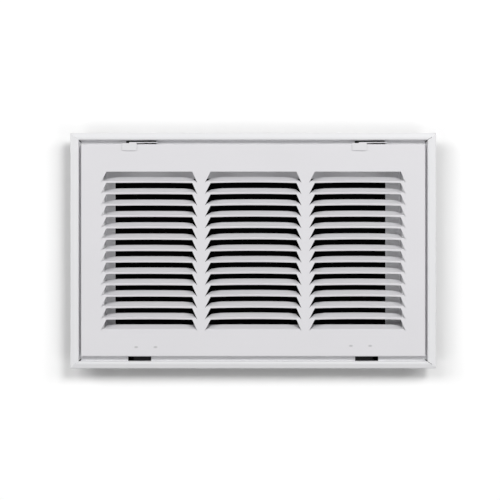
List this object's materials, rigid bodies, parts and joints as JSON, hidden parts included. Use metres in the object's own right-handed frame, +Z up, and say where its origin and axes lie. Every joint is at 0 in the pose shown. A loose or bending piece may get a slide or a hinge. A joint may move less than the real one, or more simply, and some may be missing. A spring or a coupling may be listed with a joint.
{
  "type": "return air filter grille",
  "caption": "White steel return air grille with a mitred frame, a filter bay in its neck and a louvred door hinged at the bottom, held shut by slide latches.",
  "frame": {"origin": "the middle of the duct opening, in the plane of the wall face", "axes": "+X across the grille to the viewer's right, +Z up, -Y out of the wall towards the viewer, +Y into the duct"},
  "size_m": [0.4224, 0.0371, 0.272],
  "materials": {
    "frame_coat": "white powder coat, satin",
    "door_coat": "white powder coat, satin",
    "latch_coat": "white powder coat, satin",
    "spring_steel": "blackened",
    "rivet_black": "blackened"
  },
  "bodies": {
    "frame": {"top_rail": "frame_coat", "bottom_rail": "frame_coat", "left_rail": "frame_coat", "right_rail": "frame_coat"},
    "door": {"louvred_door": "door_coat", "left_hinge_leaf": "spring_steel", "right_hinge_leaf": "spring_steel", "left_latch_rivet_1": "rivet_black", "left_latch_rivet_2": "rivet_black", "right_latch_rivet_1": "rivet_black", "right_latch_rivet_2": "rivet_black"},
    "left_latch_slide": {"left_latch": "latch_coat"},
    "right_latch_slide": {"right_latch": "latch_coat"}
  },
  "joints": [
    {"name": "door_hinge", "type": "hinge", "parent": "frame", "child": "door", "pos_m": [0, -0.0076, -0.1256], "axis": [1, 0, 0], "range_deg": [0, 90]},
    {"name": "left_latch_travel", "type": "slide", "parent": "door", "child": "left_latch_slide", "axis": [1, 0, 0], "range_m": [0, 0.014]},
    {"name": "right_latch_travel", "type": "slide", "parent": "door", "child": "right_latch_slide", "axis": [1, 0, 0], "range_m": [0, 0.014]}
  ]
}
